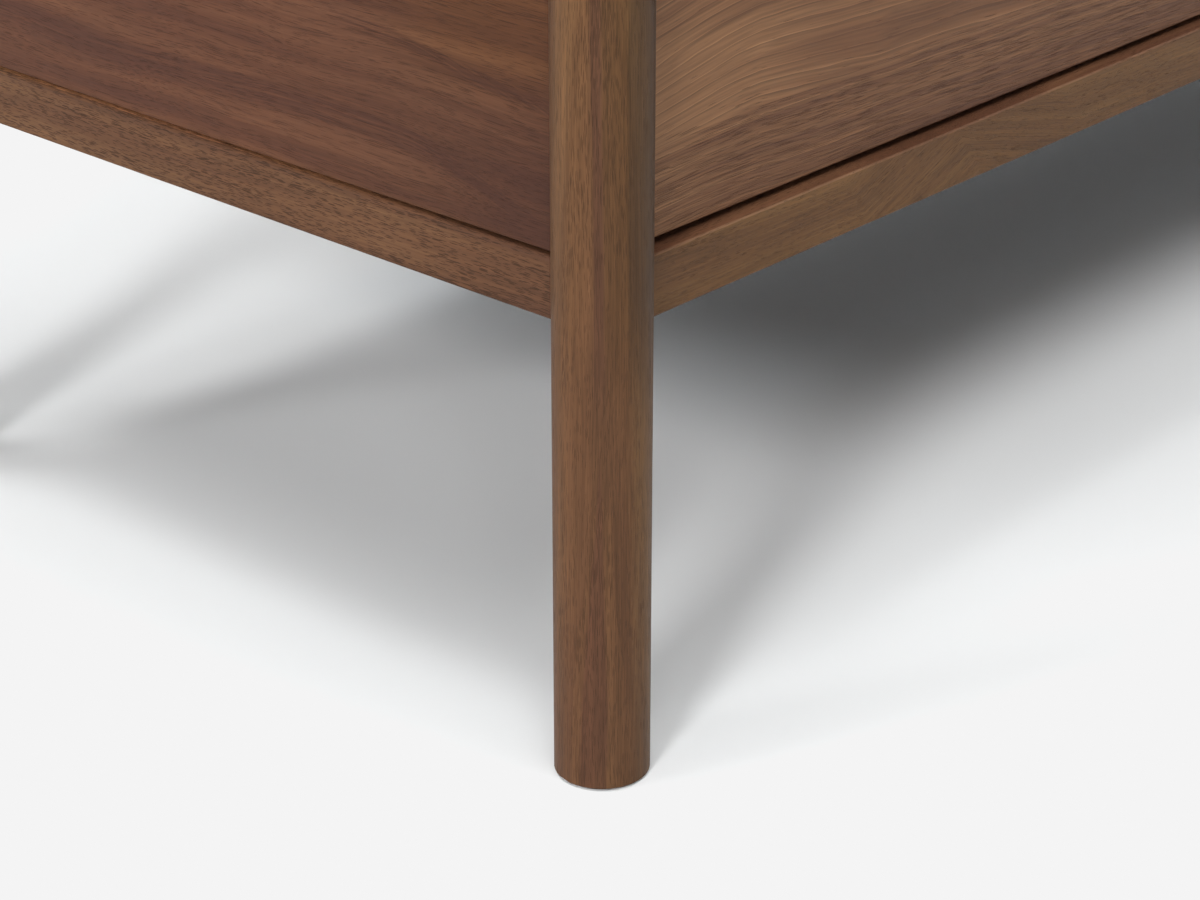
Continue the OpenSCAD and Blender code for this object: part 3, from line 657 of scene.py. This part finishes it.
# %% [markdown]
# The dovetailed boxes
#
# The drawer boxes are pale maple. Each of the four boards has its grain along its length, so
# at a corner the tails of a side board show their end grain at the front, and the pins
# between them show long grain. The finish works out which board a point belongs to from the
# shape of the tails, and takes the figure of a board along Y or along X.

# %% The box finish
MAPLE = (linear(178, 146, 108), linear(196, 166, 128), linear(208, 183, 149))
# the boards' thickness in millimetres, the tails of a corner, how fast a tail widens, and half
# its root as a share of the distance between tails
BOARD, TAILS, TAIL_SLOPE, TAIL_ROOT = 14.0, 3, 1 / 7, 0.32


def boxed(node, seed):
    """Dresses four dovetailed boards: the sides and their tails along Y, the others along X."""
    f = Finish(node)
    axes = f.place()
    low, high = (corner * 1000 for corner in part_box(node))
    x, y, z = axes
    middle = (low + high) / 2
    beside = ((x - middle.x).size() - ((high.x - low.x) / 2 - BOARD)).rise(-0.05, 0.05)
    out = ((y - middle.y).size() - ((high.y - low.y) / 2 - BOARD)).most(0.0)
    pitch = (high.z - low.z) / TAILS
    off = (((z - low.z) / pitch).fraction() - 0.5).size() * pitch
    reach = out * TAIL_SLOPE + pitch * TAIL_ROOT - off
    side = beside * (1 - out.rise(0.0, 0.05) * reach.rise(0.05, -0.05))
    glue = reach.size().rise(0.3, 0.1) * beside * out.rise(0.0, 0.05)
    choices = dict(colours=MAPLE, ring=4.5, wander=4.0, line=0.09, pore=(3.5, 0.25, 0.32, 0.3),
                   bands=(5.0, 300.0), fibre=(0.22, 18.0, 0.35), streak=0.08)
    one, _, one_fine = figure(f, axes, grain="X", heart=(middle.y + 30, low.z - 60),
                              seed=seed, **choices)
    two, _, two_fine = figure(f, axes, grain="Y", heart=(middle.x + 20, low.z - 45),
                              seed=seed + 0.5, **choices)
    fine = one_fine * (1 - side) + two_fine * side
    one = f.shade(one, 1 - f.facing("X") * END_GRAIN)
    two = f.shade(two, 1 - f.facing("Y") * END_GRAIN)
    f.set(Base_Color=f.shade(f.mix(side, one, two), 1 - glue * 0.45),
          Roughness=0.44 + (fine - 0.5) * 0.12, Specular_IOR_Level=0.2)
    f.bump(fine * 0.4, 0.04)
    dress([node], f)


for number, drawer in enumerate(DRAWERS):
    boxed(drawer + "_box", 71 + number)
board("frame_dowels", grain="X", heart=(0, 200), colours=MAPLE, seed=78)
print("boxes dressed:", len(DRAWERS))

# %% [markdown]
# Steel and nylon
#
# The slides are rolled from zinc-plated strip: a bluish grey metal with faint lines along the
# way it was rolled and a mottle from the plating bath. The screws are turned and have no such
# lines, only a fine grain, and are a little darker. The glides under the feet are off-white
# nylon with the fine orange-peel of a mould.

# %% Metal and plastic finishes
def rolled_steel(name, tint, gloss, lines):
    """Plated steel of a colour and roughness. lines: how far a rolling line runs along x, y and
    z, in millimetres."""
    f = Finish(name)
    x, y, z = f.place()
    drawn = f.noise(x / lines[0], y / lines[1], z / lines[2], 2.0)
    cloud = f.noise(x / 7, y / 11, z / 7, 3.0)
    value = 0.9 + (drawn - 0.5) * 0.25 + (cloud - 0.5) * 0.2
    f.set(Base_Color=f.shade(tint, value), Metallic=1.0,
          Roughness=gloss + (drawn - 0.5) * 0.2 + (cloud - 0.5) * 0.12)
    f.bump(drawn, 0.01)
    return f


plated = rolled_steel("plated_steel", (0.50, 0.52, 0.55), 0.36, (0.4, 60.0, 0.4))
turned_steel = rolled_steel("turned_steel", (0.42, 0.42, 0.42), 0.3, (0.5, 0.5, 0.5))
dress([drawer + part for drawer in DRAWERS for part in ("_fittings", "_middle_slide_members")],
      plated)
dress(["case_slide_members"], plated)
dress(["case_screws"], turned_steel)


def moulded(name, colour, gloss):
    """Moulded plastic of a colour and roughness, with the fine orange-peel of its mould."""
    f = Finish(name)
    x, y, z = f.place()
    peel = f.noise(x / 0.5, y / 0.5, z / 0.5, 1.0)
    flow = f.noise(x / 9, y / 9, z / 9, 2.0)
    f.set(Base_Color=f.shade(colour, 0.94 + (flow - 0.5) * 0.12 + (peel - 0.5) * 0.05),
          Roughness=gloss + (peel - 0.5) * 0.1)
    f.bump(peel, 0.03)
    return f


dress(["leg_glides"], moulded("nylon", (0.62, 0.60, 0.55), 0.5))
black_plastic = moulded("lever_plastic", (0.02, 0.02, 0.022), 0.45)
print("metal and plastic dressed")

# %% [markdown]
# Modelling helpers
#
# Pieces are made as by hand: everything is deselected, a primitive is added at its size and
# place, and then it is shaped in edit mode. Faces are picked by a question about the way that
# they face, because there is no mouse to click with.

# %% Helpers for modelling
def start(kind, **settings):
    """Adds a primitive with nothing else selected, and returns it."""
    bpy.ops.object.select_all(action="DESELECT")
    getattr(bpy.ops.mesh, f"primitive_{kind}_add")(**settings)
    return bpy.context.object


def pick(piece, wanted):
    """Selects, in edit mode, the faces that answer yes."""
    bpy.ops.mesh.select_all(action="DESELECT")
    bpy.ops.mesh.select_mode(type="FACE")
    mesh = bmesh.from_edit_mesh(piece.data)
    for face in mesh.faces:
        face.select_set(wanted(face))
    mesh.select_flush_mode()
    bmesh.update_edit_mesh(piece.data)


def settle(piece):
    """Puts the piece's place into its mesh, so that its object sits at the origin."""
    bpy.ops.object.select_all(action="DESELECT")
    piece.select_set(True)
    bpy.context.view_layer.objects.active = piece
    bpy.ops.object.transform_apply(location=True, rotation=True, scale=True)


def copy_of(piece, name, move, mirror=False):
    """A copy with its own mesh, moved by metres, and first mirrored in x if that is asked."""
    twin = piece.copy()
    twin.data = piece.data.copy()
    twin.name = name
    bpy.context.scene.collection.objects.link(twin)
    if mirror:
        twin.data.transform(Matrix.Scale(-1, 4, (1, 0, 0)))
        twin.data.flip_normals()
    twin.data.transform(Matrix.Translation(move))
    return twin


def round_edges(piece, width, angle=None):
    """Rounds edges by a width in millimetres: all of them, or those sharper than an angle."""
    bevel = piece.modifiers.new("edges", "BEVEL")
    bevel.width, bevel.segments = width / 1000, 2
    bevel.limit_method = "ANGLE" if angle else "NONE"
    if angle:
        bevel.angle_limit = math.radians(angle)
    bpy.context.view_layer.objects.active = piece
    bpy.ops.object.modifier_apply(modifier="edges")


def complete(piece, finish, angle):
    """Gives a piece its finish, and smooths it where faces meet at less than an angle."""
    piece.data.materials.append(finish.material)
    bpy.ops.object.select_all(action="DESELECT")
    piece.select_set(True)
    bpy.ops.object.shade_smooth_by_angle(angle=math.radians(angle))
    size = " x ".join(f"{side * 1000:.1f}" for side in piece.dimensions)
    print("made:", len(piece.data.polygons), "faces,", size, "mm")


# %% [markdown]
# The screw heads of the drawer fronts
#
# Four pan-head screws hold each front to its box, and their heads are the first thing seen in
# an open drawer. A head is a low cylinder with a rounded rim and a cross recess for the
# driver. One is modelled at the origin: its face is inset and raised twice for the crown, two
# tapered blades cut the recess, and the rim is bevelled. The twenty-four in the drawers are
# copies of it.

# %% The screw head
# all in millimetres: the head, its cross, and how far each step of its crown is inset and raised
HEAD_D, HEAD_T, CROSS_L, CROSS_W, CROSS_DEEP, RIM = 8.6, 2.0, 4.4, 1.0, 1.5, 0.3
CROWN = [(1.1, 0.4), (1.2, 0.1)]
head = start("cylinder", vertices=48, radius=HEAD_D / 2000, depth=HEAD_T / 1000,
             location=(0, HEAD_T / 2000, 0), rotation=(math.radians(-90), 0, 0))
settle(head)
bpy.ops.object.mode_set(mode="EDIT")
pick(head, lambda face: face.normal.y > 0.9)
for inset, raised in CROWN:
    bpy.ops.mesh.inset(thickness=inset / 1000)
    bpy.ops.transform.translate(value=(0, raised / 1000, 0))
bpy.ops.object.mode_set(mode="OBJECT")


def blade(turn):
    """One tapered arm of the cross that cuts the recess."""
    tool = start("cube", size=1, location=(0, (HEAD_T + 1 - CROSS_DEEP / 2) / 1000, 0))
    tool.scale = (CROSS_L / 1000, (CROSS_DEEP + 1) / 1000, CROSS_W / 1000)
    settle(tool)
    bpy.ops.object.mode_set(mode="EDIT")
    pick(tool, lambda face: face.normal.y < -0.9)
    bpy.ops.transform.resize(value=(0.55, 1, 0.7))
    bpy.ops.object.mode_set(mode="OBJECT")
    tool.rotation_euler.y = math.radians(turn)
    settle(tool)
    return tool


for turn in (0, 90):
    tool = blade(turn)
    bpy.context.view_layer.objects.active = head
    cut = head.modifiers.new("recess", "BOOLEAN")
    cut.operation, cut.object, cut.solver = "DIFFERENCE", tool, "EXACT"
    bpy.ops.object.modifier_apply(modifier="recess")
    bpy.data.objects.remove(tool)
round_edges(head, RIM, angle=35)
complete(head, turned_steel, angle=30)

# %% Copies of the head in each drawer
SCREW_IN, HEAD_OUT = 60.0, 0.3       # millimetres in from the box's side, and off its board
for drawer in DRAWERS:
    low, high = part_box(drawer + "_box")
    count = 0
    for x in (low.x + SCREW_IN / 1000, high.x - SCREW_IN / 1000):
        for share in (0.25, 0.75):
            count += 1
            y = low.y + (BOARD + HEAD_OUT) / 1000
            screw = copy_of(head, f"{drawer}_front_screw_head_{count}",
                            (x, y, low.z + (high.z - low.z) * share))
            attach(screw, drawer)
bpy.data.objects.remove(head)
print("screw heads:", 4 * len(DRAWERS))

# %% [markdown]
# The release levers
#
# In the middle of each drawer member of a slide sits a small black lever, and pressing both
# lets the drawer come out. It is a flat moulded strip with a waist that bends and a finger
# pad at its front end. A cube is drawn out along the slide in steps, lowered and made thinner
# or taller at each, and its edges are rounded. The lever of the other side is its mirror image.

# %% The lever
# thickness, length and height of the block that it starts from, and its rounded edges, in mm
LEVER_T, LEVER_L, LEVER_H, LEVER_EDGE = 2.4, 8.0, 9.0, 0.5
# each step: along the slide and up, in millimetres, and how much taller the strip gets
STEPS = [(-14, 0.0, 0.55), (-16, -0.6, 0.9), (-8, -1.6, 1.5), (-10, -1.8, 1.1),
         (-4, -0.4, 0.7)]
lever = start("cube", size=1, location=(0, 0, 0))
lever.scale = (LEVER_T / 1000, LEVER_L / 1000, LEVER_H / 1000)
settle(lever)
bpy.ops.object.mode_set(mode="EDIT")
pick(lever, lambda face: face.normal.y < -0.9)
for along, up, taller in STEPS:
    bpy.ops.mesh.extrude_region_move(
        TRANSFORM_OT_translate={"value": (0, along / 1000, up / 1000)})
    bpy.ops.transform.resize(value=(1, 1, taller))
bpy.ops.object.mode_set(mode="OBJECT")
round_edges(lever, LEVER_EDGE)
complete(lever, black_plastic, angle=40)

# %% A lever in each drawer member
# in millimetres: the thickness of a slide's web, the way from the front of its middle member to
# the lever's block, and the way from the middle of the box down to the middle of the slide
WEB, LEVER_BACK, SLIDE_LOW = 1.25, 188.0, 8.0
for drawer in DRAWERS:
    low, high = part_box(drawer + "_box")
    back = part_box(drawer + "_middle_slide_members")[0].y + LEVER_BACK / 1000
    height = (low.z + high.z) / 2 - SLIDE_LOW / 1000
    out = (WEB + LEVER_T / 2) / 1000
    for side, x in (("left", low.x - out), ("right", high.x + out)):
        piece = copy_of(lever, f"{drawer}_{side}_release_lever", (x, back, height),
                        mirror=side == "right")
        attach(piece, drawer)
bpy.data.objects.remove(lever)
print("release levers:", 2 * len(DRAWERS))

# %% [markdown]
# The floor and the backdrop
#
# A studio sweep of pale paper: matt, and as bright as the ground behind it, so that the
# dresser stands in nothing but its own shadow. The paper is a touch cooler than white. Under
# the dresser its shadow is painted cooler, because the lamps' light comes back from the wood
# warm. Behind it all is a wide pale dome that the camera and the gloss of the lacquer see, and
# that throws neither light nor shadow.

# %% Floor and backdrop
PAPER, PAINTED_COOL_SHADE = (0.80, 0.815, 0.822), (1.02, 1.08, 1.13)
SWEEP, DOME = 60, 28                         # metres across the paper, and to the dome
floor = start("plane", size=SWEEP, location=(0, 0, 0))
floor.name = "floor"
paper = Finish("paper")
x, y = paper.place()[:2]
# 1 under the middle of the dresser, where the shadow is deepest and its colour is painted cooler
under = x.size().rise(520.0, 260.0) * y.rise(-110.0, -10.0) * y.rise(280.0, 200.0)
paper.set(Base_Color=paper.tinge(PAPER, under, PAINTED_COOL_SHADE), Roughness=1.0, Specular_IOR_Level=0.0)
floor.data.materials.append(paper.material)
dome = start("uv_sphere", radius=DOME, segments=32, ring_count=16, location=(0, 0, 0))
dome.name = "backdrop"
ground = Finish("backdrop")
ground.set(Base_Color=(0, 0, 0), Specular_IOR_Level=0.0, Emission_Color=(WHITE, WHITE, WHITE),
           Emission_Strength=1.0)
dome.data.materials.append(ground.material)
dome.visible_shadow = dome.visible_diffuse = dome.visible_transmission = False
print("paper", SWEEP, "m across, dome", DOME, "m away")
